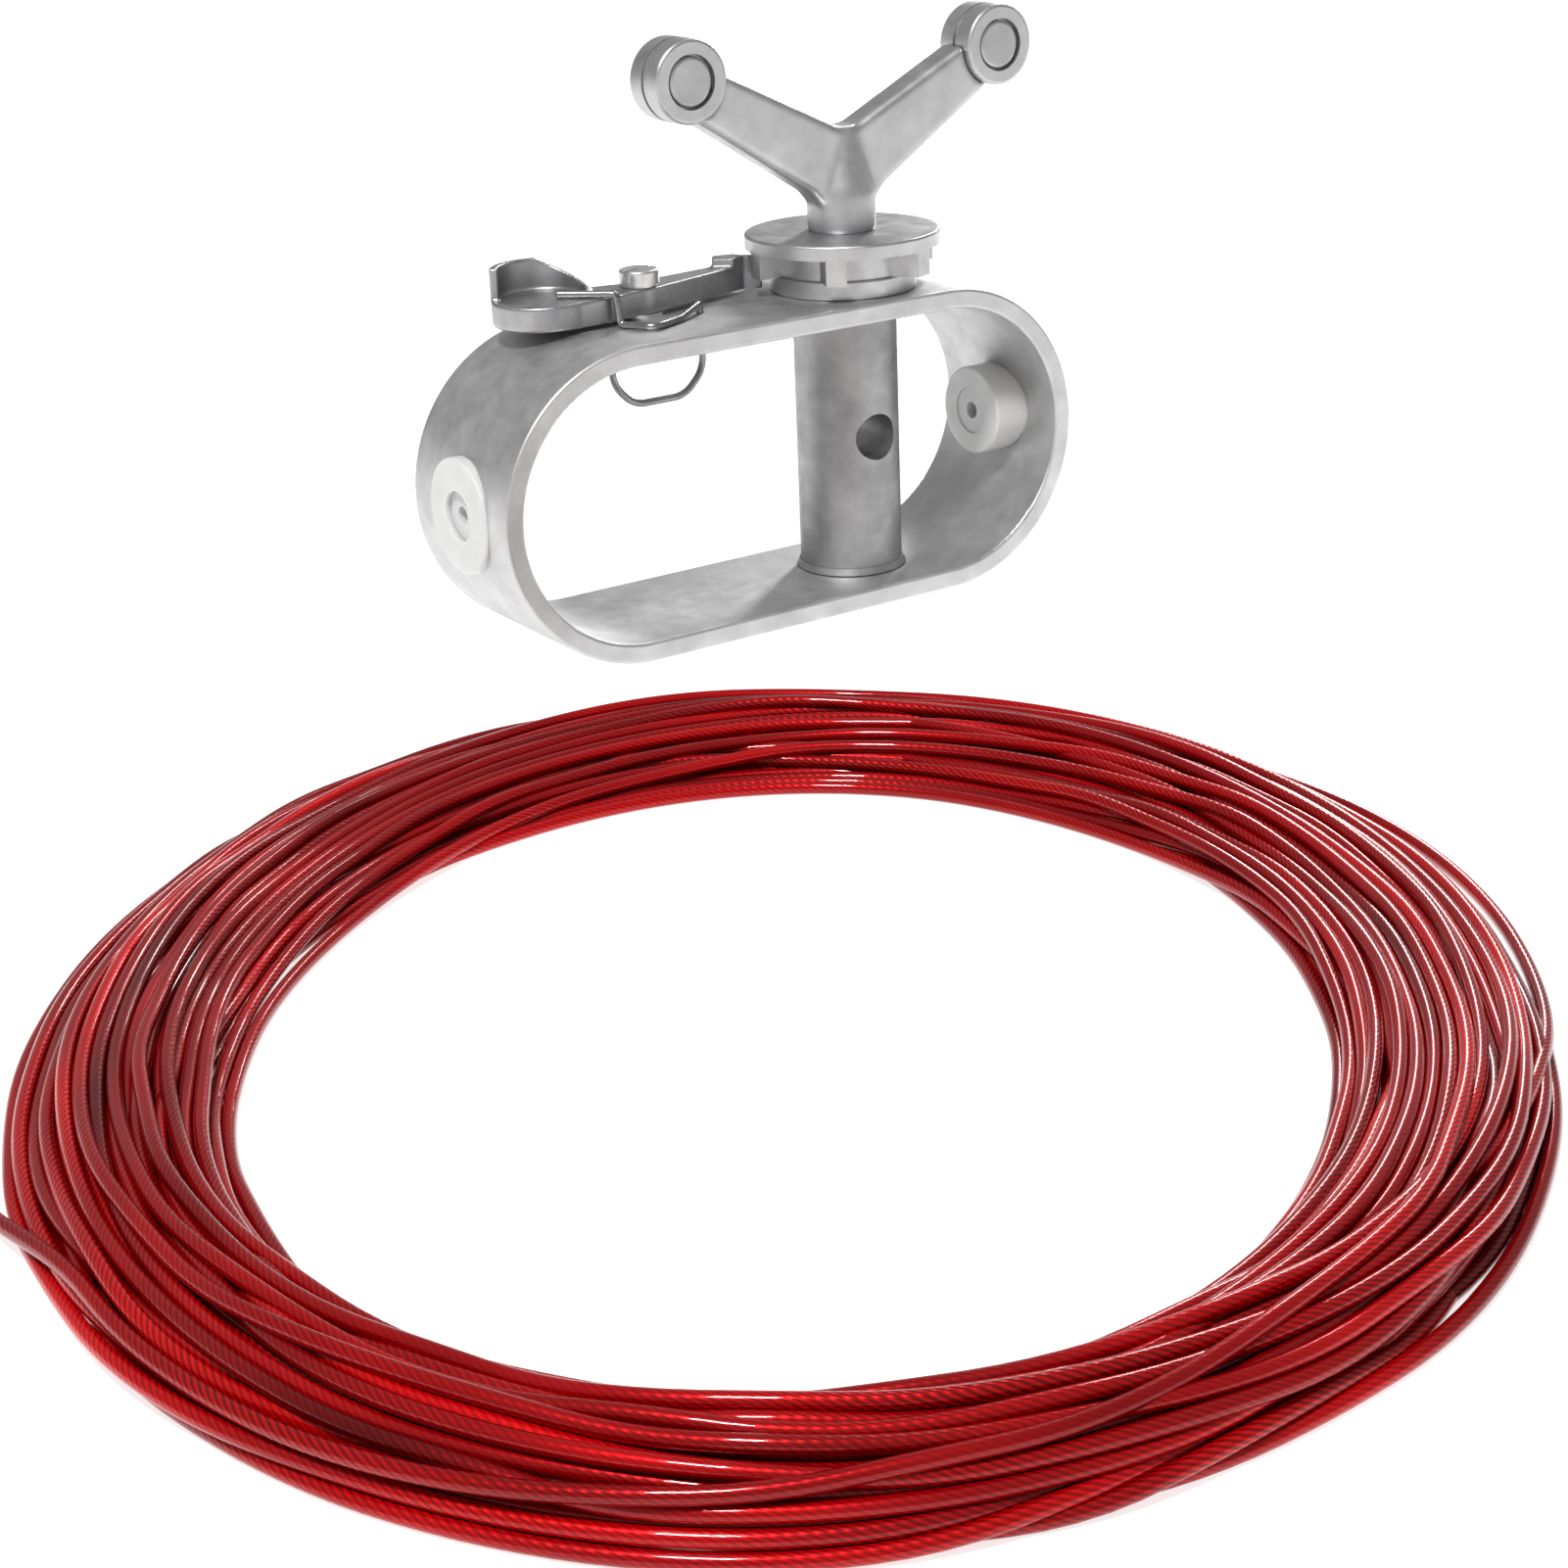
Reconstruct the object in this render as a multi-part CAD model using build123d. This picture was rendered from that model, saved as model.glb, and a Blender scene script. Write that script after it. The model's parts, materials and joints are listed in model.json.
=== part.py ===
from build123d import *
from math import atan2, cos, degrees, hypot, pi, radians, sin, tan
import os

# Hand ratchet winch for a pool cover's edge cable, and a loose coil of coated steel cable.
# X runs along the frame, -Y is the front, +Z is up. The origin is the middle of the frame's
# flat base. All sizes are in millimetres.

# --- frame -------------------------------------------------------------------------------------
FRAME_LENGTH = 150.0
FRAME_HEIGHT = 69.0
FRAME_WIDTH = 41.5
WALL = 4.3
EDGE_ROUND = 0.7
MID_HEIGHT = FRAME_HEIGHT / 2
PLATE_UNDERSIDE = FRAME_HEIGHT - WALL

# --- end bushings ------------------------------------------------------------------------------
FLANGE_RADIUS = 12.6
FLANGE_DEPTH = 2.6
FLANGE_FACE_X = 75.4
BARREL_RADIUS = 10.3
BARREL_END_X = {-1: 68.5, 1: 61.7}
LINER_RADIUS = 5.5
LINER_BORE = 2.0
LINER_RECESS = 1.2

# --- spool -------------------------------------------------------------------------------------
SPOOL_X = 26.0
DRUM_RADIUS = 11.8
DRUM_GAP = 0.25
STEM_CORE_RADIUS = 6.5
JOURNAL_RADIUS = 7.0
RUNNING_CLEARANCE = 0.06
CABLE_HOLE_RADIUS = 5.3
CABLE_HOLE_Z = 36.4
FOOT_RING_RADIUS = 12.7
FOOT_RING_HEIGHT = 1.5
THRUST_WASHER_RADIUS = 10.6
THRUST_WASHER_HEIGHT = 1.2
CORE_BOTTOM_Z = 47.0
PIN_RADIUS = 1.6
PIN_Z = 56.0
PIN_TURN = -33.0

# --- ratchet wheel -----------------------------------------------------------------------------
DISC_RADIUS = 22.0
DISC_TOP_Z = 82.0
DISC_THICKNESS = 3.2
HUB_RADIUS = 15.6
TOOTH_COUNT = 6
TOOTH_PITCH = 360 / TOOTH_COUNT
TOOTH_TIP_ANGLE = 12.0
TOOTH_SLOPE_ANGLE = 10.0
TOOTH_BOTTOM_Z = 73.2
TOOTH_RADIUS = DISC_RADIUS - 0.25
FIRST_FLANK_ANGLE = 57.0
COLLAR_RADIUS = 16.4
COLLAR_BOTTOM_Z = FRAME_HEIGHT + 0.2
COLLAR_TOP_Z = 73.2

# --- handle ------------------------------------------------------------------------------------
STEM_RADIUS = 7.7
ARM_SPREAD = 41.2
ARM_TIP_Z = 118.7
CROTCH_Z = 104.0
SHOULDER_Z = 89.0
WEB_THICKNESS = 8.0
BOSS_RADIUS = 8.9
BOSS_DEPTH = 11.0
INSERT_SEAT_RADIUS = 5.8
INSERT_RADIUS = 5.3
INSERT_DEPTH = 2.0

# --- pawl --------------------------------------------------------------------------------------
PIVOT = (-24.0, 6.0)
PAWL_BOTTOM_Z = 70.0
PAWL_TOP_Z = 75.5
PAWL_TIP_TOP_Z = 77.4
PAWL_HUB_RADIUS = 4.7
PAWL_BORE = 2.56
PAWL_SCREW_RADIUS = 2.5
SCREW_HEAD_RADIUS = 4.4
SCREW_HEAD_HEIGHT = 3.2
TIP_ANGLES = (149.8, 155.2)
TIP_INNER_RADIUS = 18.5
TIP_OUTER_RADIUS = 22.7
PAD_CENTRE = (-46.3, 9.4)
PAD_RADIUS = 11.0
FENCE_THICKNESS = 1.7
FENCE_HEIGHT = 5.4
FENCE_TURN = -33.0
FENCE_SLOPE = 24.0
FENCE_START = 1.5

# --- spring wire -------------------------------------------------------------------------------
WIRE_RADIUS = 0.8
LOOP_LEFT_X = -36.5
LOOP_RIGHT_X = -13.5
LOOP_Y = -1.6
LOOP_BOTTOM_Z = 51.6

# --- cable -------------------------------------------------------------------------------------
CABLE_RADIUS = 1.2
COIL_CENTRE = (-126.0, -195.5)
COIL_TURN = -33.4
COIL_INNER = (82.0, 97.0)
COIL_OUTER = (118.0, 145.0)
COIL_OFFSET = 22.3
COIL_FRONT_HEIGHT = 14.0
COIL_BACK_HEIGHT = 8.0
TAIL_POINTS = [
    (-238.5, -192.0, CABLE_RADIUS + 0.05),
    (-240.8, -163.0, CABLE_RADIUS + 0.05),
    (-237.5, -135.0, CABLE_RADIUS + 0.05),
    (-240.5, -108.0, CABLE_RADIUS + 0.05),
]


def cylinder_between(radius, low_z, high_z, x=0.0, y=0.0):
    """An upright cylinder from one height to another."""
    return extrude(Plane.XY.offset(low_z) * Pos(x, y) * Circle(radius), high_z - low_z)


def cylinder_along_x(radius, start_x, end_x, z):
    return extrude(Plane.YZ.offset(start_x) * Pos(0, z) * Circle(radius), end_x - start_x)


def polar(radius, angle):
    """A point round the spool's axis, as seen from above."""
    return (SPOOL_X + radius * cos(radians(angle)), radius * sin(radians(angle)))


def wire_along(points, bend_radius):
    """A round wire through points joined by straight runs and arcs."""
    path = FilletPolyline(*points, radius=bend_radius)
    section = Plane(path @ 0, z_dir=path % 0) * Circle(WIRE_RADIUS)
    return sweep(section, path=path)


# --- frame side --------------------------------------------------------------------------------
def frame_band():
    outline = SlotOverall(FRAME_LENGTH, FRAME_HEIGHT)
    window = SlotOverall(FRAME_LENGTH - 2 * WALL, FRAME_HEIGHT - 2 * WALL)
    band = extrude(Plane.XZ * (outline - window), FRAME_WIDTH / 2, both=True)
    rims = band.faces().filter_by(Axis.Y).edges()
    band = Pos(0, 0, MID_HEIGHT) * fillet(rims, EDGE_ROUND)
    band -= cylinder_between(STEM_CORE_RADIUS + RUNNING_CLEARANCE, MID_HEIGHT, FRAME_HEIGHT + 1, SPOOL_X)
    band -= cylinder_between(JOURNAL_RADIUS + RUNNING_CLEARANCE, -1, MID_HEIGHT, SPOOL_X)
    band -= cylinder_between(PAWL_SCREW_RADIUS, MID_HEIGHT, FRAME_HEIGHT + 1, *PIVOT)
    for x in (LOOP_LEFT_X, LOOP_RIGHT_X):
        band -= cylinder_between(WIRE_RADIUS + 0.15, MID_HEIGHT, FRAME_HEIGHT + 1, x, LOOP_Y)
    for side in (-1, 1):
        band -= cylinder_along_x(BARREL_RADIUS, side * BARREL_END_X[side], side * (FLANGE_FACE_X + 1), MID_HEIGHT)
        flange_seat = side * (FLANGE_FACE_X - FLANGE_DEPTH)
        band -= cylinder_along_x(FLANGE_RADIUS, flange_seat, side * (FLANGE_FACE_X + 1), MID_HEIGHT)
    return band


def bushing(side):
    """A shouldered nylon plug in one end of the frame, bored for its liner."""
    barrel = cylinder_along_x(BARREL_RADIUS, side * BARREL_END_X[side], side * FLANGE_FACE_X, MID_HEIGHT)
    flange = cylinder_along_x(
        FLANGE_RADIUS, side * (FLANGE_FACE_X - FLANGE_DEPTH), side * FLANGE_FACE_X, MID_HEIGHT
    )
    plug = barrel + flange
    ends = plug.faces().filter_by(Axis.X).sort_by(Axis.X)
    plug = fillet(ends[0].edges() + ends[-1].edges(), 0.6)
    return plug - cylinder_along_x(LINER_RADIUS, side * 50, side * 90, MID_HEIGHT)


def liner(side):
    start = side * (BARREL_END_X[side] + 0.3)
    end = side * (FLANGE_FACE_X - LINER_RECESS)
    sleeve = cylinder_along_x(LINER_RADIUS, start, end, MID_HEIGHT)
    return sleeve - cylinder_along_x(LINER_BORE, side * 50, side * 90, MID_HEIGHT)


def pawl_screw():
    """The pivot screw: a slotted round head on a plain shank."""
    head_z = PAWL_TOP_Z + 0.5
    head = cylinder_between(SCREW_HEAD_RADIUS, head_z, head_z + SCREW_HEAD_HEIGHT, *PIVOT)
    head = fillet(head.edges().sort_by(Axis.Z)[-1], 0.6)
    slot = Pos(PIVOT[0], PIVOT[1], head_z + SCREW_HEAD_HEIGHT) * Rot(0, 0, 20) * Box(10, 1.2, 2.0)
    shank = cylinder_between(PAWL_SCREW_RADIUS, PLATE_UNDERSIDE - 5.2, head_z, *PIVOT)
    return head - slot + shank


def pawl_washer():
    ring = cylinder_between(3.9, PAWL_TOP_Z + 0.05, PAWL_TOP_Z + 0.5, *PIVOT)
    return ring - cylinder_between(PAWL_SCREW_RADIUS, 60, 90, *PIVOT)


def pawl_spacer():
    ring = cylinder_between(5.0, FRAME_HEIGHT, PAWL_BOTTOM_Z - 0.05, *PIVOT)
    return ring - cylinder_between(PAWL_SCREW_RADIUS, 60, 90, *PIVOT)


def pawl_nut():
    low_z = PLATE_UNDERSIDE - 4.2
    nut = extrude(Plane.XY.offset(low_z) * Pos(*PIVOT) * RegularPolygon(4.6, 6), 4.2)
    return nut - cylinder_between(PAWL_SCREW_RADIUS, 50, 90, *PIVOT)


def spring_loop():
    """The spring wire's fixed half: a wide, round U that hangs under the top plate."""
    top = FRAME_HEIGHT - 0.4
    shoulder = 5.0
    bend = 7.0
    points = [
        (LOOP_LEFT_X, LOOP_Y, top),
        (LOOP_LEFT_X, LOOP_Y, LOOP_BOTTOM_Z + shoulder),
        (LOOP_LEFT_X + shoulder, LOOP_Y, LOOP_BOTTOM_Z),
        (LOOP_RIGHT_X - shoulder, LOOP_Y, LOOP_BOTTOM_Z),
        (LOOP_RIGHT_X, LOOP_Y, LOOP_BOTTOM_Z + shoulder),
        (LOOP_RIGHT_X, LOOP_Y, top),
    ]
    return wire_along(points, [bend] * 4)


def pawl_spring():
    """The spring wire's moving half: over the lever's top, down its front, bowed along the plate."""
    low_z = FRAME_HEIGHT + WIRE_RADIUS + 0.1
    high_z = PAWL_TOP_Z + WIRE_RADIUS + 0.1
    points = [
        (-44.5, 6.5, high_z),
        (-34.9, -2.2, high_z),
        (-34.6, -3.0, low_z),
        (-30.4, -10.6, low_z),
        (-21.5, -6.6, low_z),
        (LOOP_RIGHT_X, LOOP_Y, low_z + 1.3),
        (LOOP_RIGHT_X, LOOP_Y + 0.1, FRAME_HEIGHT - 0.2),
    ]
    return wire_along(points, [1.0, 1.0, 2.5, 6.0, 1.1])


# --- spool side --------------------------------------------------------------------------------
def spool_drum():
    """A slim drum with a foot journal, a socket for the stem and the cable's cross hole."""
    low_z = WALL + DRUM_GAP
    high_z = PLATE_UNDERSIDE - THRUST_WASHER_HEIGHT - DRUM_GAP
    drum = cylinder_between(DRUM_RADIUS, low_z, high_z, SPOOL_X)
    drum = chamfer(drum.edges().filter_by(GeomType.CIRCLE), 0.5)
    drum += cylinder_between(JOURNAL_RADIUS, 0.5, low_z + 1, SPOOL_X)
    drum -= cylinder_between(STEM_CORE_RADIUS, CORE_BOTTOM_Z, high_z + 1, SPOOL_X)
    drum -= Pos(SPOOL_X, 0, CABLE_HOLE_Z) * Rot(90, 0, 0) * Cylinder(CABLE_HOLE_RADIUS, 40)
    return drum - pin_shape(DRUM_RADIUS + 2)


def drum_foot_ring():
    """The flared ring round the drum's foot."""
    low_z = WALL + DRUM_GAP
    ring = Pos(SPOOL_X, 0, low_z + FOOT_RING_HEIGHT / 2) * Cone(
        FOOT_RING_RADIUS, DRUM_RADIUS + 0.3, FOOT_RING_HEIGHT
    )
    return ring - cylinder_between(DRUM_RADIUS, 0, 20, SPOOL_X)


def drum_washer():
    low_z = PLATE_UNDERSIDE - THRUST_WASHER_HEIGHT - DRUM_GAP
    ring = cylinder_between(THRUST_WASHER_RADIUS, low_z, PLATE_UNDERSIDE - DRUM_GAP, SPOOL_X)
    return ring - cylinder_between(STEM_CORE_RADIUS, 50, 80, SPOOL_X)


def tooth(flank_angle):
    """A saw tooth below the disc: a radial stop face, a tip, and a slope back to the hub."""
    root_radius = HUB_RADIUS - 0.4
    tip_end = flank_angle - TOOTH_TIP_ANGLE
    slope_end = tip_end - TOOTH_SLOPE_ANGLE
    outline = Curve() + [
        Line(polar(root_radius, flank_angle), polar(TOOTH_RADIUS, flank_angle)),
        ThreePointArc(
            polar(TOOTH_RADIUS, flank_angle),
            polar(TOOTH_RADIUS, flank_angle - TOOTH_TIP_ANGLE / 2),
            polar(TOOTH_RADIUS, tip_end),
        ),
        Line(polar(TOOTH_RADIUS, tip_end), polar(root_radius, slope_end)),
        Line(polar(root_radius, slope_end), polar(root_radius, flank_angle)),
    ]
    height = DISC_TOP_Z - DISC_THICKNESS - TOOTH_BOTTOM_Z + 0.5
    return Pos(0, 0, TOOTH_BOTTOM_Z) * extrude(make_face(outline), height)


def ratchet_wheel():
    disc = cylinder_between(DISC_RADIUS, DISC_TOP_Z - DISC_THICKNESS, DISC_TOP_Z, SPOOL_X)
    disc = fillet(disc.edges().filter_by(GeomType.CIRCLE).sort_by(Axis.Z)[-1], 0.6)
    wheel = disc + cylinder_between(HUB_RADIUS, COLLAR_TOP_Z, DISC_TOP_Z - 1, SPOOL_X)
    for index in range(TOOTH_COUNT):
        wheel += tooth(FIRST_FLANK_ANGLE + index * TOOTH_PITCH)
    return wheel - cylinder_between(STEM_CORE_RADIUS, 60, 90, SPOOL_X)


def wheel_collar():
    ring = cylinder_between(COLLAR_RADIUS, COLLAR_BOTTOM_Z, COLLAR_TOP_Z, SPOOL_X)
    ring = fillet(ring.edges().filter_by(GeomType.CIRCLE).sort_by(Axis.Z)[-1], 0.5)
    return ring - cylinder_between(STEM_CORE_RADIUS, 60, 90, SPOOL_X)


def handle_web():
    """The flat Y of the handle, drawn from the front."""
    half = [
        (0.0, SHOULDER_Z - 4),
        (STEM_RADIUS - 0.6, SHOULDER_Z - 4),
        (STEM_RADIUS - 0.6, SHOULDER_Z - 1),
        (STEM_RADIUS + 2.0, SHOULDER_Z + 2.2),
        (ARM_SPREAD - 1.0, ARM_TIP_Z - BOSS_RADIUS + 0.8),
        (ARM_SPREAD - 6.0, ARM_TIP_Z + 2.4),
        (ARM_SPREAD - 10.0, ARM_TIP_Z + 0.3),
        (0.0, CROTCH_Z),
    ]
    right = Plane.XZ * make_face(Polyline(*half, close=True))
    web = extrude(right, WEB_THICKNESS / 2, both=True)
    return web + mirror(web, about=Plane.YZ)


def handle_yoke():
    """The cast handle: a stem, a flat Y web with a soft centre rib, down into the drum."""
    web = handle_web()
    web = chamfer(web.faces().filter_by(Axis.Y).edges(), 1.0)
    stem = cylinder_between(STEM_RADIUS, DISC_TOP_Z, SHOULDER_Z + 1)
    rib = Pos(0, 0, SHOULDER_Z + 1) * extrude(Circle(STEM_RADIUS), 15, taper=14)
    core = cylinder_between(STEM_CORE_RADIUS, CORE_BOTTOM_Z + 0.5, DISC_TOP_Z + 1)
    body = Pos(SPOOL_X, 0, 0) * (web + stem + rib + core)
    for side in (-1, 1):
        body -= boss_shape(side, BOSS_RADIUS, -BOSS_DEPTH, BOSS_DEPTH)
    return body - pin_shape(DRUM_RADIUS + 2)


def boss_shape(side, radius, front_y, back_y):
    plane = Plane((SPOOL_X + side * ARM_SPREAD, front_y, ARM_TIP_Z), x_dir=(1, 0, 0), z_dir=(0, 1, 0))
    return extrude(plane * Circle(radius), back_y - front_y)


def grip_boss(side):
    """A round boss at an arm's end, grooved round its rim and dished on both faces."""
    half = BOSS_DEPTH / 2
    boss = boss_shape(side, BOSS_RADIUS, -half, half)
    boss = fillet(boss.edges().filter_by(GeomType.CIRCLE), 0.8)
    groove = boss_shape(side, BOSS_RADIUS + 1, -0.5, 0.5) - boss_shape(side, BOSS_RADIUS - 0.7, -1, 1)
    boss -= groove
    for face in (-1, 1):
        low, high = sorted((face * (half - INSERT_DEPTH), face * (half + 1)))
        boss -= boss_shape(side, INSERT_SEAT_RADIUS, low, high)
    return boss


def boss_inserts(side):
    """The two round plugs in a boss, front and back, a little below its faces."""
    half = BOSS_DEPTH / 2
    plugs = []
    for face in (-1, 1):
        low, high = sorted((face * (half - INSERT_DEPTH), face * (half - 0.3)))
        plug = boss_shape(side, INSERT_RADIUS, low, high)
        outer_rim = plug.edges().filter_by(GeomType.CIRCLE).sort_by(Axis.Y)[0 if face < 0 else -1]
        plugs.append(fillet(outer_rim, 0.8))
    return Compound(children=plugs)


def pin_shape(half_length):
    pin = Rot(0, 90, 0) * Cylinder(PIN_RADIUS, 2 * half_length)
    return Pos(SPOOL_X, 0, PIN_Z) * Rot(0, 0, PIN_TURN) * pin


# --- pawl --------------------------------------------------------------------------------------
def tangent_from(point, side):
    """Where a line from a point touches the pawl's hub."""
    dx, dy = point[0] - PIVOT[0], point[1] - PIVOT[1]
    lean = side * degrees(0.5 * pi - PAWL_HUB_RADIUS / hypot(dx, dy))
    angle = radians(degrees(atan2(dy, dx)) + lean)
    return (PIVOT[0] + PAWL_HUB_RADIUS * cos(angle), PIVOT[1] + PAWL_HUB_RADIUS * sin(angle))


def pawl_arm():
    """The arm from the hub to the hooked tip, with a raised block at the tip."""
    low_angle, high_angle = TIP_ANGLES
    back = polar(24.6, 145.5)
    front = polar(25.4, 160.0)
    tip = [
        polar(TIP_OUTER_RADIUS, low_angle),
        polar(TIP_INNER_RADIUS, low_angle),
        polar(TIP_INNER_RADIUS, high_angle),
        polar(TIP_OUTER_RADIUS, high_angle),
    ]
    outline = [tangent_from(back, 1), back, *tip, front, tangent_from(front, -1)]
    arm_plane = Plane.XY.offset(PAWL_BOTTOM_Z)
    arm = extrude(arm_plane * make_face(Polyline(*outline, close=True)), PAWL_TOP_Z - PAWL_BOTTOM_Z)
    block = [back, *tip, front, polar(30.0, 157.5), polar(29.4, 148.5)]
    block = extrude(arm_plane * make_face(Polyline(*block, close=True)), PAWL_TIP_TOP_Z - PAWL_BOTTOM_Z)
    return arm + block


def thumb_pad():
    """A round pad at the lever's outer end, with a fence that rises at its back and left."""
    pad = cylinder_between(PAD_RADIUS, PAWL_BOTTOM_Z, PAWL_TOP_Z, *PAD_CENTRE)
    pad = fillet(pad.edges().filter_by(GeomType.CIRCLE), 0.7)
    outer = cylinder_between(PAD_RADIUS, PAWL_TOP_Z - 2, PAWL_TOP_Z + FENCE_HEIGHT + 1.4, *PAD_CENTRE)
    inner = cylinder_between(PAD_RADIUS - FENCE_THICKNESS, PAWL_TOP_Z - 3, 90, *PAD_CENTRE)
    fence = outer - inner
    at_pad = Pos(*PAD_CENTRE, PAWL_TOP_Z) * Rot(0, 0, FENCE_TURN)
    fence -= at_pad * Rot(0, FENCE_SLOPE, 0) * Pos(0, 0, FENCE_HEIGHT + 10) * Box(60, 60, 20)
    fence -= at_pad * Pos(0, -FENCE_START - 20, 10) * Box(60, 40, 20)
    return pad + fence


def pawl_lever():
    hub = cylinder_between(PAWL_HUB_RADIUS, PAWL_BOTTOM_Z, PAWL_TOP_Z, *PIVOT)
    neck_outline = [
        (PIVOT[0], PIVOT[1] + PAWL_HUB_RADIUS),
        (PAD_CENTRE[0], PAD_CENTRE[1] + 7.0),
        (PAD_CENTRE[0], PAD_CENTRE[1] - PAD_RADIUS + 0.4),
        (PAD_CENTRE[0] + 11.5, PAD_CENTRE[1] - PAD_RADIUS + 0.9),
        (PIVOT[0] - 1.0, PIVOT[1] - PAWL_HUB_RADIUS + 0.1),
    ]
    neck = make_face(Polyline(*neck_outline, close=True))
    neck = extrude(Plane.XY.offset(PAWL_BOTTOM_Z) * neck, PAWL_TOP_Z - PAWL_BOTTOM_Z)
    lever = hub + neck + thumb_pad() + pawl_arm()
    return lever - cylinder_between(PAWL_BORE, 60, 90, *PIVOT)


# --- cable -------------------------------------------------------------------------------------
def cable_coil():
    """The outer shape of the wound cable: turns heaped at the front, spread flat at the back."""
    outer = Pos(0, COIL_OFFSET) * Ellipse(*COIL_OUTER)
    ring = extrude(outer - Ellipse(*COIL_INNER), COIL_FRONT_HEIGHT + 1)
    slope = (COIL_FRONT_HEIGHT - COIL_BACK_HEIGHT) / (2 * COIL_OUTER[1])
    height = COIL_FRONT_HEIGHT - slope * (COIL_OUTER[1] - COIL_OFFSET)
    ring -= Pos(0, 0, height) * Rot(-degrees(atan2(slope, 1)), 0, 0) * Pos(0, 0, 50) * Box(400, 400, 100)
    ring = fillet(ring.faces().sort_by(Axis.Z)[-1].edges(), 4.0)
    ring = fillet(ring.faces().sort_by(Axis.Z)[0].edges(), 2.0)
    return Pos(*COIL_CENTRE, 0) * Rot(0, 0, COIL_TURN) * ring


def tail_radii():
    """The bend radius at each inner point of the tail, as large as its two runs allow."""
    radii = []
    points = [Vector(*point) for point in TAIL_POINTS]
    for before, here, after in zip(points, points[1:], points[2:]):
        turn = radians((here - before).get_angle(after - here))
        shorter = min((here - before).length, (after - here).length)
        radii.append(0.45 * shorter / tan(turn / 2))
    return radii


def cable_tail():
    radii = tail_radii()
    path = FilletPolyline(*TAIL_POINTS, radius=radii)
    tube = sweep(Plane(path @ 0, z_dir=path % 0) * Circle(CABLE_RADIUS), path=path)
    expected = pi * CABLE_RADIUS**2 * path.length
    print("tail radii", [round(radius) for radius in radii], "length", round(path.length, 1))
    print("tail volume", round(tube.volume, 1), "expected", round(expected, 1))
    return tube


def main():
    parts = {
        "frame_band": frame_band(),
        "bushing_left": bushing(-1),
        "bushing_right": bushing(1),
        "liner_left": liner(-1),
        "liner_right": liner(1),
        "pawl_screw": pawl_screw(),
        "pawl_washer": pawl_washer(),
        "pawl_spacer": pawl_spacer(),
        "pawl_nut": pawl_nut(),
        "spring_loop": spring_loop(),
        "pawl_spring": pawl_spring(),
        "spool_drum": spool_drum(),
        "drum_foot_ring": drum_foot_ring(),
        "drum_washer": drum_washer(),
        "ratchet_wheel": ratchet_wheel(),
        "wheel_collar": wheel_collar(),
        "handle_yoke": handle_yoke(),
        "handle_pin": pin_shape(DRUM_RADIUS - 0.3),
        "grip_boss_left": grip_boss(-1),
        "grip_boss_right": grip_boss(1),
        "boss_inserts_left": boss_inserts(-1),
        "boss_inserts_right": boss_inserts(1),
        "pawl_lever": pawl_lever(),
        "cable_coil": cable_coil(),
        "cable_tail": cable_tail(),
    }
    os.makedirs("parts", exist_ok=True)
    for node, shape in parts.items():
        export_step(shape, f"parts/{node}.step")


main()
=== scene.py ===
import json
import math

import bpy
import numpy as np
from mathutils import Matrix, Vector


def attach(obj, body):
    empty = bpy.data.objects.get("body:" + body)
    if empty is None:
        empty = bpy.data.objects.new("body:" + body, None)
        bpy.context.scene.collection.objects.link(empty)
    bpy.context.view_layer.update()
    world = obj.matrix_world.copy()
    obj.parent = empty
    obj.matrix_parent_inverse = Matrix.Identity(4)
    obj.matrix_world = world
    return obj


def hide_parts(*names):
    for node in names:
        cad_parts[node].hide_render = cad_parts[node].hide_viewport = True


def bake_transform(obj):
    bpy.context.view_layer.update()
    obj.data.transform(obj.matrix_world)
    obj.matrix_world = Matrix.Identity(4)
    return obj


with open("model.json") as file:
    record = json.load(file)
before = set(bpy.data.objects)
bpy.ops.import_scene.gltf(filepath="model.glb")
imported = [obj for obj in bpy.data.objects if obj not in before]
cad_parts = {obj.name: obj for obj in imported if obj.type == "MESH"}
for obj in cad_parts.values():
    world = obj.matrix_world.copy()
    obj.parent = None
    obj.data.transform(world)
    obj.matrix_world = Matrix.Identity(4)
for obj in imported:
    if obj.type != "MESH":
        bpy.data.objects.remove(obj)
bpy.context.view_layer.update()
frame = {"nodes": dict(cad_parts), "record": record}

MM = 0.001
SCENE = bpy.context.scene
NODES = frame["nodes"]

# --- camera's place and angles in degrees ------------------------------------------------------
CAMERA_PLACE = (-0.3293, -0.5062, 0.1912)
CAMERA_YAW = 33.4
CAMERA_PITCH = 21.4
CAMERA_ROLL = -2.3
CAMERA_LENS = 63.0
CAMERA_SENSOR = 36.0
CAMERA_CLIP = (0.02, 20.0)

# --- cable's size and the coil's two ovals -----------------------------------------------------
CABLE_DIAMETER = 2.4 * MM
CABLE_RADIUS = CABLE_DIAMETER / 2
TURNS = 44
STATIONS = 40
SKEIN = 5
COIL_CENTRE = Vector((-126.0, -195.5, 0.0)) * MM
COIL_TURN = -33.4
COIL_INNER = (82.0 * MM, 97.0 * MM)
COIL_OUTER = (118.0 * MM, 145.0 * MM)
COIL_OFFSET = 22.3 * MM
COIL_END_ANGLE = 214.2
TAIL_ROUTE = [
    (-240.8, -163.0, 1.25),
    (-237.5, -135.0, 1.25),
    (-240.5, -108.0, 1.25),
]
RINGS = 7800
SIDES = 12
LAY_LENGTH = 13 * MM
RIB_COUNT = 8

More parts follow.
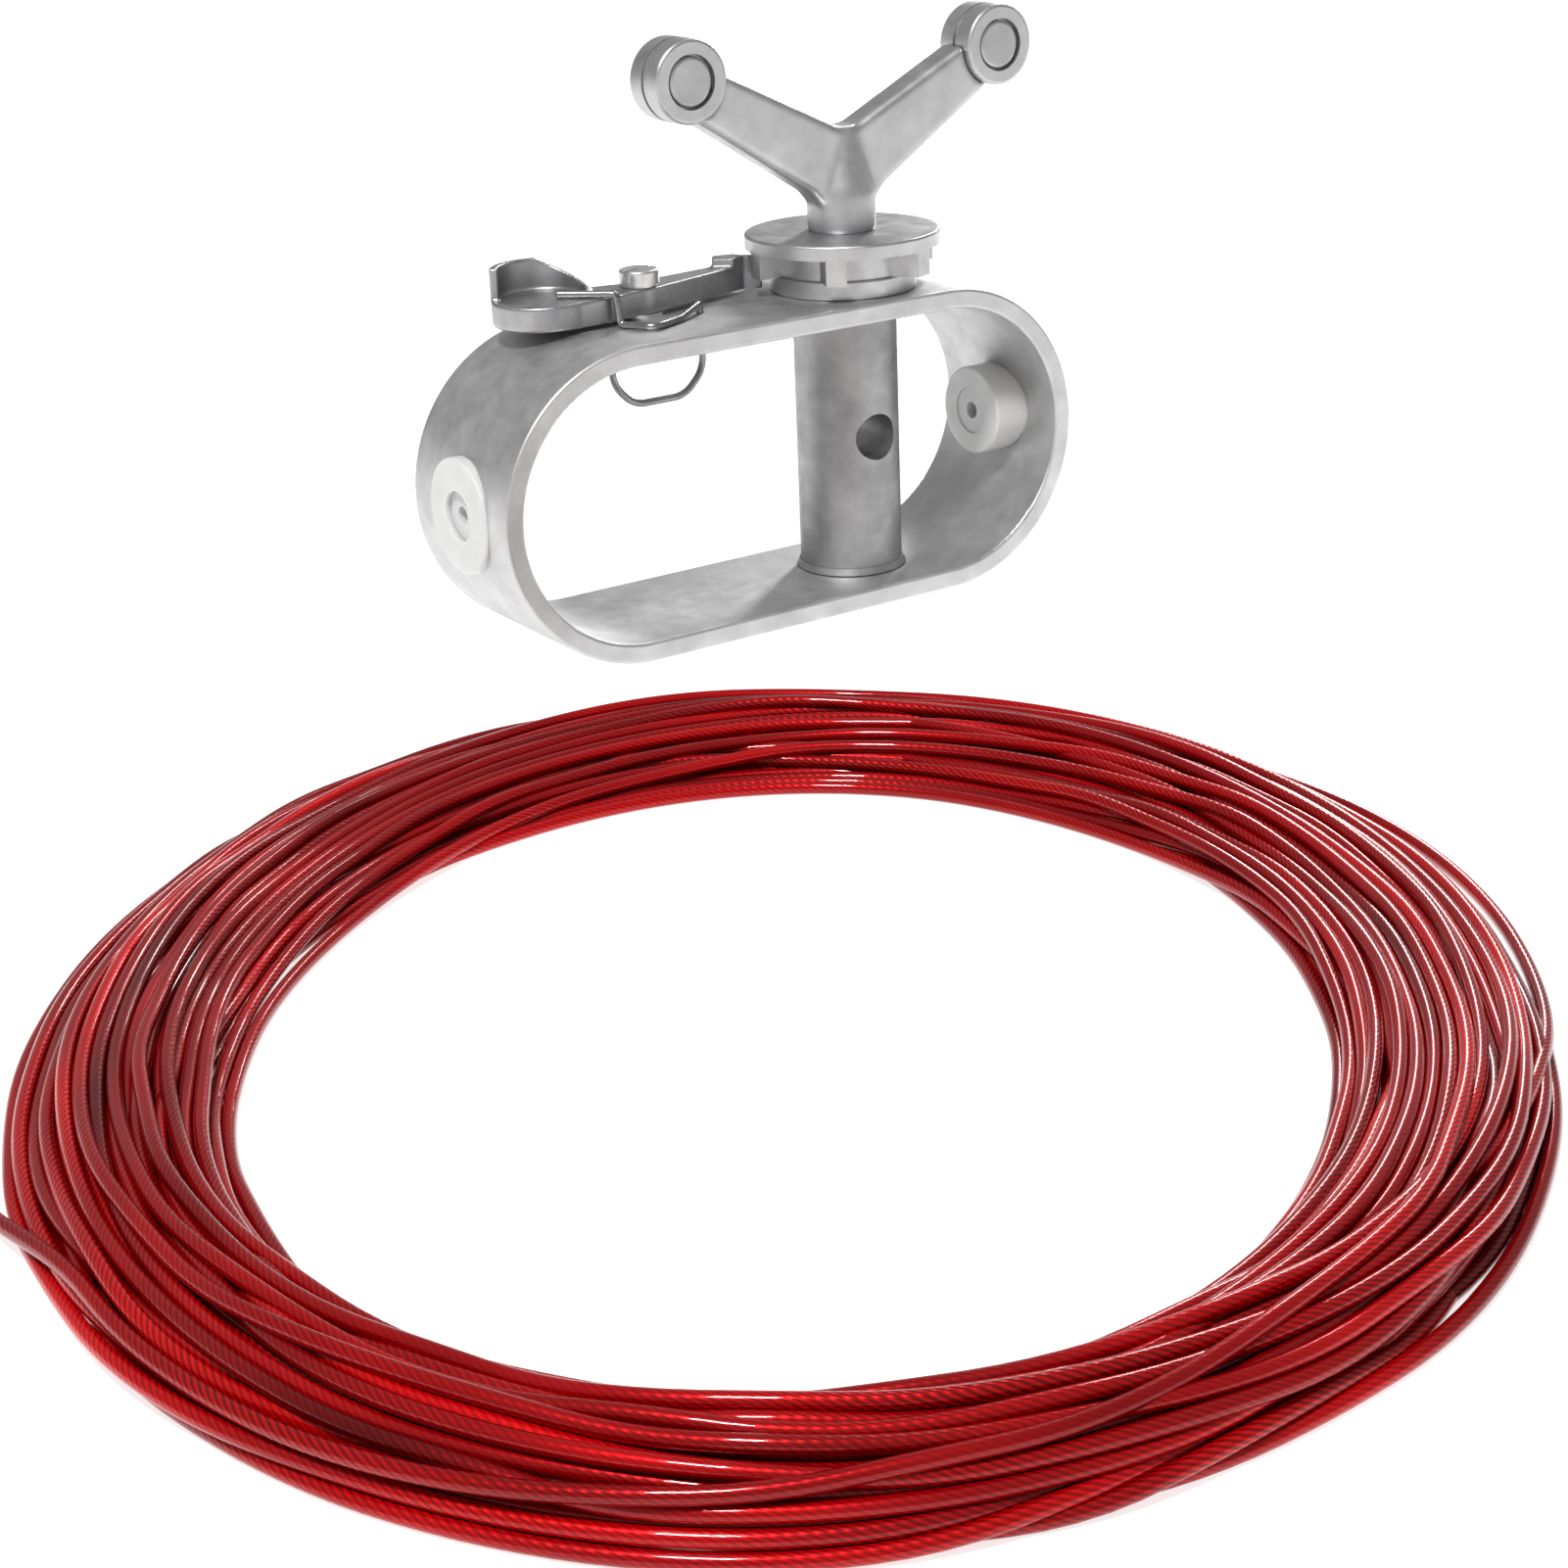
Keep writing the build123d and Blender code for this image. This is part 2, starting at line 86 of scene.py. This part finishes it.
# --- how the turns lie in the coil --------------------------------------------------------------
# Places across the ring are -1 at its inner oval and 1 at its outer one.
SEED = 11
WAVE_SHARES = (0.5, 0.5, 0.26, 0.26, 0.12)
SKEIN_SWEEP = 1.15
FREE_SHARE = 0.65
LOOSE_ANGLE = 18.0
LOOSE_GAP, LOOSE_REACH = 0.42, 28
LOOSE_TURN = TURNS - 9.48
LOOSE_SPAN = 0.12
LOOSE_SIDE = 1.6
END_GAP, END_REACH = 0.2, 24
END_SIDE = 0.886
END_START, END_SPAN = 0.4, 0.3
LAYER_HEIGHT = 1.05
SETTLE_STEPS = 260
FALLING_STEPS = 200
FALL_PER_STEP = 0.05
PULL_TO_TARGET = 0.04
STIFFNESS = 0.5
PUSHES_FALLING, PUSHES_SETTLED = 3, 2
PUSH_SHARE = 0.32
TINY = 1e-9

# --- metals: darkest and lightest colour, range of roughness, strength of the grain ------------
METALS = {
    "frame_aluminium": ((0.50, 0.50, 0.50), (0.64, 0.64, 0.64), (0.46, 0.58), 0.05),
    "drum_aluminium": ((0.27, 0.27, 0.275), (0.42, 0.42, 0.42), (0.42, 0.56), 0.25),
    "wheel_aluminium": ((0.42, 0.42, 0.43), (0.58, 0.58, 0.58), (0.32, 0.46), 0.06),
    "cast_aluminium": ((0.44, 0.44, 0.45), (0.58, 0.58, 0.58), (0.38, 0.5), 0.08),
    "insert_aluminium": ((0.40, 0.40, 0.41), (0.54, 0.54, 0.54), (0.4, 0.55), 0.10),
    "pawl_aluminium": ((0.30, 0.30, 0.31), (0.47, 0.47, 0.47), (0.34, 0.46), 0.08),
    "steel_fastener": ((0.55, 0.55, 0.55), (0.75, 0.75, 0.74), (0.25, 0.4), 0.04),
    "spring_wire": ((0.16, 0.16, 0.16), (0.34, 0.34, 0.34), (0.22, 0.34), 0.03),
}
# Metals with drawn lines as well: the lines' stretch along each axis, and their strength.
DRAWN_LINES = {"frame_aluminium": ((0.02, 1, 1), 0.15)}


# --- small helpers -----------------------------------------------------------------------------
def add_object(name, data):
    obj = bpy.data.objects.new(name, data)
    SCENE.collection.objects.link(obj)
    return obj


class Shader:
    """A short way to build one material's node tree."""

    def __init__(self, name):
        self.material = bpy.data.materials.new(name)
        self.material.use_nodes = True
        self.tree = self.material.node_tree
        self.surface = self.tree.nodes["Principled BSDF"]

    def node(self, kind, **values):
        made = self.tree.nodes.new(kind)
        for key, value in values.items():
            setattr(made, key, value)
        return made

    def link(self, source, target):
        self.tree.links.new(source, target)

    def math(self, operation, first, second=None):
        made = self.node("ShaderNodeMath", operation=operation)
        for slot, value in enumerate((first, second)):
            if value is None:
                continue
            if isinstance(value, (int, float)):
                made.inputs[slot].default_value = value
            else:
                self.link(value, made.inputs[slot])
        return made.outputs[0]

    def place(self, stretch=(1, 1, 1)):
        """Object coordinates in metres, scaled along each axis."""
        coordinates = self.node("ShaderNodeTexCoord")
        mapping = self.node("ShaderNodeMapping")
        mapping.inputs["Scale"].default_value = stretch
        self.link(coordinates.outputs["Object"], mapping.inputs["Vector"])
        return mapping.outputs[0]

    def noise(self, vector, scale, detail=4.0, roughness=0.55):
        made = self.node("ShaderNodeTexNoise")
        made.inputs["Scale"].default_value = scale
        made.inputs["Detail"].default_value = detail
        made.inputs["Roughness"].default_value = roughness
        self.link(vector, made.inputs["Vector"])
        return made.outputs["Fac"]

    def ramp(self, factor, stops):
        """stops are (place, colour) pairs, and a colour is a grey or three numbers."""
        made = self.node("ShaderNodeValToRGB")
        while len(made.color_ramp.elements) < len(stops):
            made.color_ramp.elements.new(0.5)
        for element, (place, colour) in zip(made.color_ramp.elements, stops):
            element.position = place
            grey = isinstance(colour, (int, float))
            element.color = (colour, colour, colour, 1) if grey else (*colour, 1)
        self.link(factor, made.inputs["Fac"])
        return made.outputs["Color"]

    def bump(self, height, strength, distance, base=None):
        made = self.node("ShaderNodeBump")
        made.inputs["Strength"].default_value = strength
        made.inputs["Distance"].default_value = distance
        self.link(height, made.inputs["Height"])
        if base is not None:
            self.link(base, made.inputs["Normal"])
        return made.outputs["Normal"]

    def set(self, name, value):
        self.surface.inputs[name].default_value = value

    def feed(self, name, source):
        self.link(source, self.surface.inputs[name])


# --- materials ---------------------------------------------------------------------------------
def metal(name, dark, light, roughness, grain, lines=None, line_strength=0.0):
    """Bare aluminium or steel: mottled tone, fine grain and, where drawn, lines along it."""
    shader = Shader(name)
    place = shader.place()
    mottle = shader.noise(place, scale=90.0, detail=5.0, roughness=0.6)
    shader.feed("Base Color", shader.ramp(mottle, [(0.3, dark), (0.7, light)]))
    patches = shader.noise(place, scale=260.0, detail=3.0)
    low, high = roughness
    shader.feed("Roughness", shader.ramp(patches, [(0.3, low), (0.7, high)]))
    grains = shader.noise(place, scale=1500.0, detail=2.0)
    normal = shader.bump(grains, strength=grain, distance=0.0002)
    if lines is not None:
        streaks = shader.noise(shader.place(lines), scale=900.0, detail=3.0, roughness=0.7)
        normal = shader.bump(streaks, strength=line_strength, distance=0.0001, base=normal)
    shader.feed("Normal", normal)
    shader.set("Metallic", 1.0)
    return shader.material


def nylon(name, colour, depth):
    """White nylon: light goes a little way in, with a faint moulded cloudiness."""
    shader = Shader(name)
    place = shader.place()
    cloud = shader.noise(place, scale=160.0, detail=3.0)
    dim = tuple(value * 0.93 for value in colour)
    shader.feed("Base Color", shader.ramp(cloud, [(0.35, dim), (0.65, colour)]))
    grains = shader.noise(place, scale=1200.0, detail=2.0)
    shader.feed("Normal", shader.bump(grains, strength=0.08, distance=0.0002))
    shader.set("Roughness", 0.38)
    shader.set("Subsurface Weight", 0.5)
    shader.set("Subsurface Radius", (depth, depth, depth))
    shader.set("Subsurface Scale", 1.0)
    return shader.material


def red_jacket():
    """Clear red vinyl over a twisted steel rope: fine slanting ribs under gloss, with painted
    shade in the grooves between them, that come and go along the cable, and a slow drift of
    shade."""
    shader = Shader("red_jacket")
    uv = shader.node("ShaderNodeUVMap", uv_map="run")
    split = shader.node("ShaderNodeSeparateXYZ")
    shader.link(uv.outputs["UV"], split.inputs["Vector"])
    along, around = split.outputs["X"], split.outputs["Y"]
    twist = shader.math("MULTIPLY", along, RIB_COUNT / LAY_LENGTH)
    phase = shader.math("ADD", twist, shader.math("MULTIPLY", around, RIB_COUNT))
    wave = shader.math("SINE", shader.math("MULTIPLY", phase, 2 * math.pi))
    length = shader.node("ShaderNodeCombineXYZ")
    shader.link(along, length.inputs["X"])
    fading = shader.noise(length.outputs[0], scale=9.0, detail=2.0)
    clarity = shader.ramp(fading, [(0.42, 0.1), (0.62, 0.42)])
    ridge = shader.math("ADD", shader.math("MULTIPLY", wave, clarity), 0.5)
    # The ribs' colour is the rope's own strand pattern, with painted shade darkening the grooves
    # between the strands.
    dark, mid, bright = (0.11, 0.0, 0.002), (0.36, 0.0, 0.002), (0.66, 0.004, 0.004)
    strand_ribs_and_groove_shade = shader.ramp(ridge, [(0.0, dark), (0.5, mid), (1.0, bright)])
    drift = shader.noise(length.outputs[0], scale=5.0, detail=3.0, roughness=0.7)
    shade_stops = [(0.34, (0.26, 0.2, 0.2)), (0.5, (0.75, 0.75, 0.75)), (0.64, (1.5, 1.0, 1.0))]
    shade = shader.ramp(drift, shade_stops)
    mix = shader.node("ShaderNodeMix", data_type="RGBA", blend_type="MULTIPLY")
    mix.inputs["Factor"].default_value = 1.0
    shader.link(strand_ribs_and_groove_shade, mix.inputs["A"])
    shader.link(shade, mix.inputs["B"])
    shader.feed("Base Color", mix.outputs["Result"])
    shader.feed("Normal", shader.bump(ridge, strength=0.35, distance=0.00015))
    shader.set("Metallic", 0.35)
    shader.set("Roughness", 0.34)
    shader.set("Specular IOR Level", 0.05)
    shader.set("Coat Weight", 0.5)
    shader.set("Coat Roughness", 0.05)
    return shader.material


def make_materials():
    made = {
        name: metal(name, *values, *DRAWN_LINES.get(name, ())) for name, values in METALS.items()
    }
    made["nylon"] = nylon("nylon", (0.64, 0.64, 0.635), depth=0.003)
    made["liner_nylon"] = nylon("liner_nylon", (0.60, 0.605, 0.605), depth=0.002)
    made["red_jacket"] = red_jacket()
    return made


def paint_cad_nodes(materials):
    for part in frame["record"]["subparts"]:
        obj = NODES[part["node"]]
        obj.data.materials.clear()
        obj.data.materials.append(materials[part["material_slot"]])


# --- camera ------------------------------------------------------------------------------------
def make_camera():
    angles = (CAMERA_YAW, CAMERA_PITCH, CAMERA_ROLL)
    yaw, pitch, roll = (math.radians(angle) for angle in angles)
    forward = Vector(
        (math.sin(yaw) * math.cos(pitch), math.cos(yaw) * math.cos(pitch), -math.sin(pitch))
    )
    level_right = Vector((math.cos(yaw), -math.sin(yaw), 0))
    level_up = level_right.cross(forward)
    right = level_right * math.cos(roll) + level_up * math.sin(roll)
    up = level_up * math.cos(roll) - level_right * math.sin(roll)
    turn = Matrix((right, up, -forward)).transposed().to_4x4()
    data = bpy.data.cameras.new("camera")
    data.lens = CAMERA_LENS
    data.sensor_width = CAMERA_SENSOR
    data.clip_start, data.clip_end = CAMERA_CLIP
    camera = add_object("camera", data)
    camera.matrix_world = Matrix.Translation(CAMERA_PLACE) @ turn
    SCENE.camera = camera


# --- cable -------------------------------------------------------------------------------------
def smooth_step(value):
    value = np.clip(value, 0, 1)
    return value * value * (3 - 2 * value)


def ring_widths(angle):
    """Half the ring's width at each angle, square to its outer oval."""
    cosine, sine = np.cos(angle), np.sin(angle)
    normal = np.stack([COIL_OUTER[1] * cosine, COIL_OUTER[0] * sine])
    normal /= np.linalg.norm(normal, axis=0)
    across_x = (COIL_OUTER[0] - COIL_INNER[0]) * cosine
    across_y = COIL_OFFSET + (COIL_OUTER[1] - COIL_INNER[1]) * sine
    return 0.5 * (across_x * normal[0] + across_y * normal[1])


def near_angle(angle, degrees, reach):
    """1 at an angle, in degrees, fading to 0 over a reach either side of it."""
    away = (np.degrees(angle) - degrees + 180) % 360 - 180
    return np.exp(-((away / reach) ** 2))


def skein_wander(rng, run):
    """Each station's place across the ring, and the number of its skein.

    Turns lie in skeins of about SKEIN parallel turns. Each skein is a slightly different oval, so
    that the skeins cross each other, and the change from one to the next takes a whole turn."""
    angle = -2 * np.pi * run
    skeins = TURNS // SKEIN + 2
    shapes = rng.uniform(-1, 1, (skeins, len(WAVE_SHARES))) * np.array(WAVE_SHARES)
    skein = np.minimum(run / SKEIN, skeins - 2)
    index = skein.astype(int)
    change = smooth_step((skein - index - (1 - 1 / SKEIN)) * SKEIN)
    mixed = shapes[index] * (1 - change[:, None]) + shapes[index + 1] * change[:, None]
    waves = (
        np.cos(angle),
        np.sin(angle),
        np.cos(2 * angle),
        np.sin(2 * angle),
        np.cos(3 * angle),
    )
    wander = sum(mixed[:, k] * wave for k, wave in enumerate(waves))
    across = np.abs((run / SKEIN) % 2 - 1) - 0.5
    return wander + across * SKEIN_SWEEP, index


def pack_turns():
    """Every station's angle, its place across the ring and its height, settled under gravity.

    The turns keep clear of the ring's outer edge beside the cable's end and beside one loose
    strand, which stands away from the rest there."""
    run = np.arange(TURNS * STATIONS) / STATIONS
    angle = math.radians(COIL_END_ANGLE) + 2 * math.pi * (TURNS - run - 1 / STATIONS)
    across, index = skein_wander(np.random.default_rng(SEED), run)
    limit = 1 - LOOSE_GAP * near_angle(angle, LOOSE_ANGLE, LOOSE_REACH)
    limit = limit - END_GAP * near_angle(angle, COIL_END_ANGLE, END_REACH)
    free = FREE_SHARE * limit
    over = np.abs(across) - free
    squeezed = np.sign(across) * (free + (limit - free) * np.tanh(over / (limit - free)))
    across = np.where(over > 0, squeezed, across)
    loose = np.exp(-(((run - LOOSE_TURN) / LOOSE_SPAN) ** 2))
    across = across * (1 - loose) + LOOSE_SIDE * loose
    ending = smooth_step((run - (TURNS - END_START)) / END_SPAN)
    across = across * (1 - ending) + END_SIDE * ending
    half_width = ring_widths(angle)
    target = across * (half_width - CABLE_RADIUS)
    height = CABLE_RADIUS + index * CABLE_DIAMETER * LAYER_HEIGHT
    side = target.copy()
    for step in range(SETTLE_STEPS):
        falling = step < FALLING_STEPS
        if falling:
            height -= FALL_PER_STEP * CABLE_DIAMETER
            side += (target - side) * PULL_TO_TARGET
            for values in (side, height):
                between = 0.5 * (values[2:] + values[:-2])
                values[1:-1] += STIFFNESS * (between - values[1:-1])
        for _ in range(PUSHES_FALLING if falling else PUSHES_SETTLED):
            side, height = push_apart(side, height)
        height = np.maximum(height, CABLE_RADIUS)
    return angle, side / half_width, height


def push_apart(side, height):
    """Moves turns that lie in each other apart, station by station."""
    sides = side.reshape(TURNS, STATIONS).T
    heights = height.reshape(TURNS, STATIONS).T
    sideways = sides[:, :, None] - sides[:, None, :]
    upward = heights[:, :, None] - heights[:, None, :]
    gap = np.sqrt(sideways * sideways + upward * upward) + TINY
    overlap = np.clip(CABLE_DIAMETER - gap, 0, None)
    overlap[:, range(TURNS), range(TURNS)] = 0
    step_side = (sideways / gap * overlap).sum(2) * PUSH_SHARE
    step_height = (upward / gap * overlap).sum(2) * PUSH_SHARE
    return side + step_side.T.ravel(), height + step_height.T.ravel()


def coil_route():
    """The cable's control points, turn by turn and then along the tail."""
    angle, across, height = pack_turns()
    share = (across + 1) / 2
    local_x = (COIL_INNER[0] + share * (COIL_OUTER[0] - COIL_INNER[0])) * np.cos(angle)
    local_y = (COIL_INNER[1] + share * (COIL_OUTER[1] - COIL_INNER[1])) * np.sin(angle)
    local_y += share * COIL_OFFSET
    turn = Matrix.Rotation(math.radians(COIL_TURN), 3, "Z")
    points = [COIL_CENTRE + turn @ Vector(place) for place in zip(local_x, local_y, height)]
    points += [Vector(point) * MM for point in TAIL_ROUTE]
    return points


def route_line(points):
    """Even points along the smooth NURBS line of a route."""
    data = bpy.data.curves.new("route", "CURVE")
    data.dimensions = "3D"
    data.resolution_u = 6
    spline = data.splines.new("NURBS")
    spline.points.add(len(points) - 1)
    for target, point in zip(spline.points, points):
        target.co = (*point, 1)
    spline.order_u = 3
    spline.use_endpoint_u = True
    obj = add_object("route", data)
    line = bpy.data.meshes.new_from_object(obj)
    flat = np.empty(len(line.vertices) * 3)
    line.vertices.foreach_get("co", flat)
    bpy.data.objects.remove(obj)
    flat = flat.reshape(-1, 3)
    distance = np.concatenate([[0], np.cumsum(np.linalg.norm(np.diff(flat, axis=0), axis=1))])
    even = np.linspace(0, distance[-1], RINGS)
    line_points = np.stack([np.interp(even, distance, flat[:, k]) for k in range(3)], 1)
    return line_points, even


def tube_mesh(name, line, distance, radius, sides):
    """A closed tube round a line, with UV "run": metres along it and turns around it."""
    tangent = np.gradient(line, axis=0)
    tangent /= np.linalg.norm(tangent, axis=1)[:, None]
    up = np.array([0.0, 0.0, 1.0])
    sideways = np.cross(tangent, up)
    sideways /= np.linalg.norm(sideways, axis=1)[:, None]
    upward = np.cross(sideways, tangent)
    turns = np.linspace(0, 2 * np.pi, sides, endpoint=False)
    ring = (
        sideways[:, None, :] * np.cos(turns)[None, :, None]
        + upward[:, None, :] * np.sin(turns)[None, :, None]
    )
    corners = (line[:, None, :] + radius * ring).reshape(-1, 3)
    rings = len(line)
    quads, uvs = [], []
    for i in range(rings - 1):
        for k in range(sides):
            after = (k + 1) % sides
            here, ahead = i * sides, (i + 1) * sides
            quads.append((here + k, here + after, ahead + after, ahead + k))
            uvs += [
                (distance[i], k / sides),
                (distance[i], (k + 1) / sides),
                (distance[i + 1], (k + 1) / sides),
                (distance[i + 1], k / sides),
            ]
    caps = [tuple(reversed(range(sides))), tuple((rings - 1) * sides + k for k in range(sides))]
    uvs += [(0.0, 0.0)] * sides + [(distance[-1], 0.0)] * sides
    mesh = bpy.data.meshes.new(name)
    mesh.from_pydata(corners.tolist(), [], quads + caps)
    layer = mesh.uv_layers.new(name="run")
    layer.data.foreach_set("uv", np.array(uvs, dtype=np.float32).ravel())
    mesh.polygons.foreach_set("use_smooth", [True] * len(quads) + [False] * 2)
    mesh.update()
    return mesh


def make_cable(materials):
    points = coil_route()
    line, distance = route_line(points)
    mesh = tube_mesh("cable", line, distance, CABLE_RADIUS, SIDES)
    cable = add_object("cable", mesh)
    mesh.materials.append(materials["red_jacket"])
    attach(cable, "cable")
    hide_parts("cable_coil", "cable_tail")
    print("cable length", round(float(distance[-1]), 2))


# --- castings ----------------------------------------------------------------------------------
def soften(node, slot, materials, voxel, rounds):
    """A piece with rounded edges and blended joins, in place of its CAD node."""
    source = NODES[node]
    soft = add_object(f"{node}_soft", source.data.copy())
    soft.matrix_world = source.matrix_world.copy()
    remesh = soft.modifiers.new("even", "REMESH")
    remesh.mode = "VOXEL"
    remesh.voxel_size = voxel
    smooth = soft.modifiers.new("soften", "SMOOTH")
    smooth.factor = 0.5
    smooth.iterations = rounds
    graph = bpy.context.evaluated_depsgraph_get()
    mesh = bpy.data.meshes.new_from_object(soft.evaluated_get(graph), depsgraph=graph)
    soft.modifiers.clear()
    soft.data = mesh
    mesh.polygons.foreach_set("use_smooth", [True] * len(mesh.polygons))
    mesh.materials.clear()
    mesh.materials.append(materials[slot])
    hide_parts(node)
    return soft


def make_soft_pieces(materials):
    handle = soften("handle_yoke", "cast_aluminium", materials, voxel=0.5 * MM, rounds=20)
    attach(handle, "spool")
    lever = soften("pawl_lever", "pawl_aluminium", materials, voxel=0.35 * MM, rounds=5)
    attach(lever, "pawl")
    wire = soften("pawl_spring", "spring_wire", materials, voxel=0.2 * MM, rounds=2)
    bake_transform(wire)


# --- stage -------------------------------------------------------------------------------------
def make_floor():
    mesh = bpy.data.meshes.new("floor")
    half = 6.0
    corners = [(-half, -half, 0), (half, -half, 0), (half, half, 0), (-half, half, 0)]
    mesh.from_pydata(corners, [], [(0, 1, 2, 3)])
    floor = add_object("floor", mesh)
    shader = Shader("floor_paper")
    shader.set("Base Color", (0.6, 0.6, 0.6, 1))
    shader.set("Roughness", 0.9)
    shader.set("Emission Color", (1, 1, 1, 1))
    shader.set("Emission Strength", 0.75)
    mesh.materials.append(shader.material)


def area_light(name, place, target, size, watts):
    data = bpy.data.lights.new(name, "AREA")
    data.shape = "RECTANGLE"
    data.size, data.size_y = size
    data.energy = watts
    light = add_object(name, data)
    aim = Vector(target) - Vector(place)
    turn = aim.to_track_quat("-Z", "Y").to_matrix().to_4x4()
    light.matrix_world = Matrix.Translation(place) @ turn


def make_lights():
    world = bpy.data.worlds.new("studio")
    world.use_nodes = True
    background = world.node_tree.nodes["Background"]
    background.inputs["Color"].default_value = (1, 1, 1, 1)
    background.inputs["Strength"].default_value = 0.36
    SCENE.world = world
    between, winch = (-0.05, -0.1, 0.03), (0, 0, 0.05)
    area_light("key", place=(-0.55, -0.45, 1.1), target=between, size=(0.16, 0.16), watts=14)
    area_light("rim", place=(0.7, 0.5, 0.5), target=winch, size=(0.1, 0.6), watts=5)
    SCENE.view_settings.view_transform = "Standard"


make_camera()
MATERIALS = make_materials()
make_cable(MATERIALS)
paint_cad_nodes(MATERIALS)
make_soft_pieces(MATERIALS)
make_floor()
make_lights()
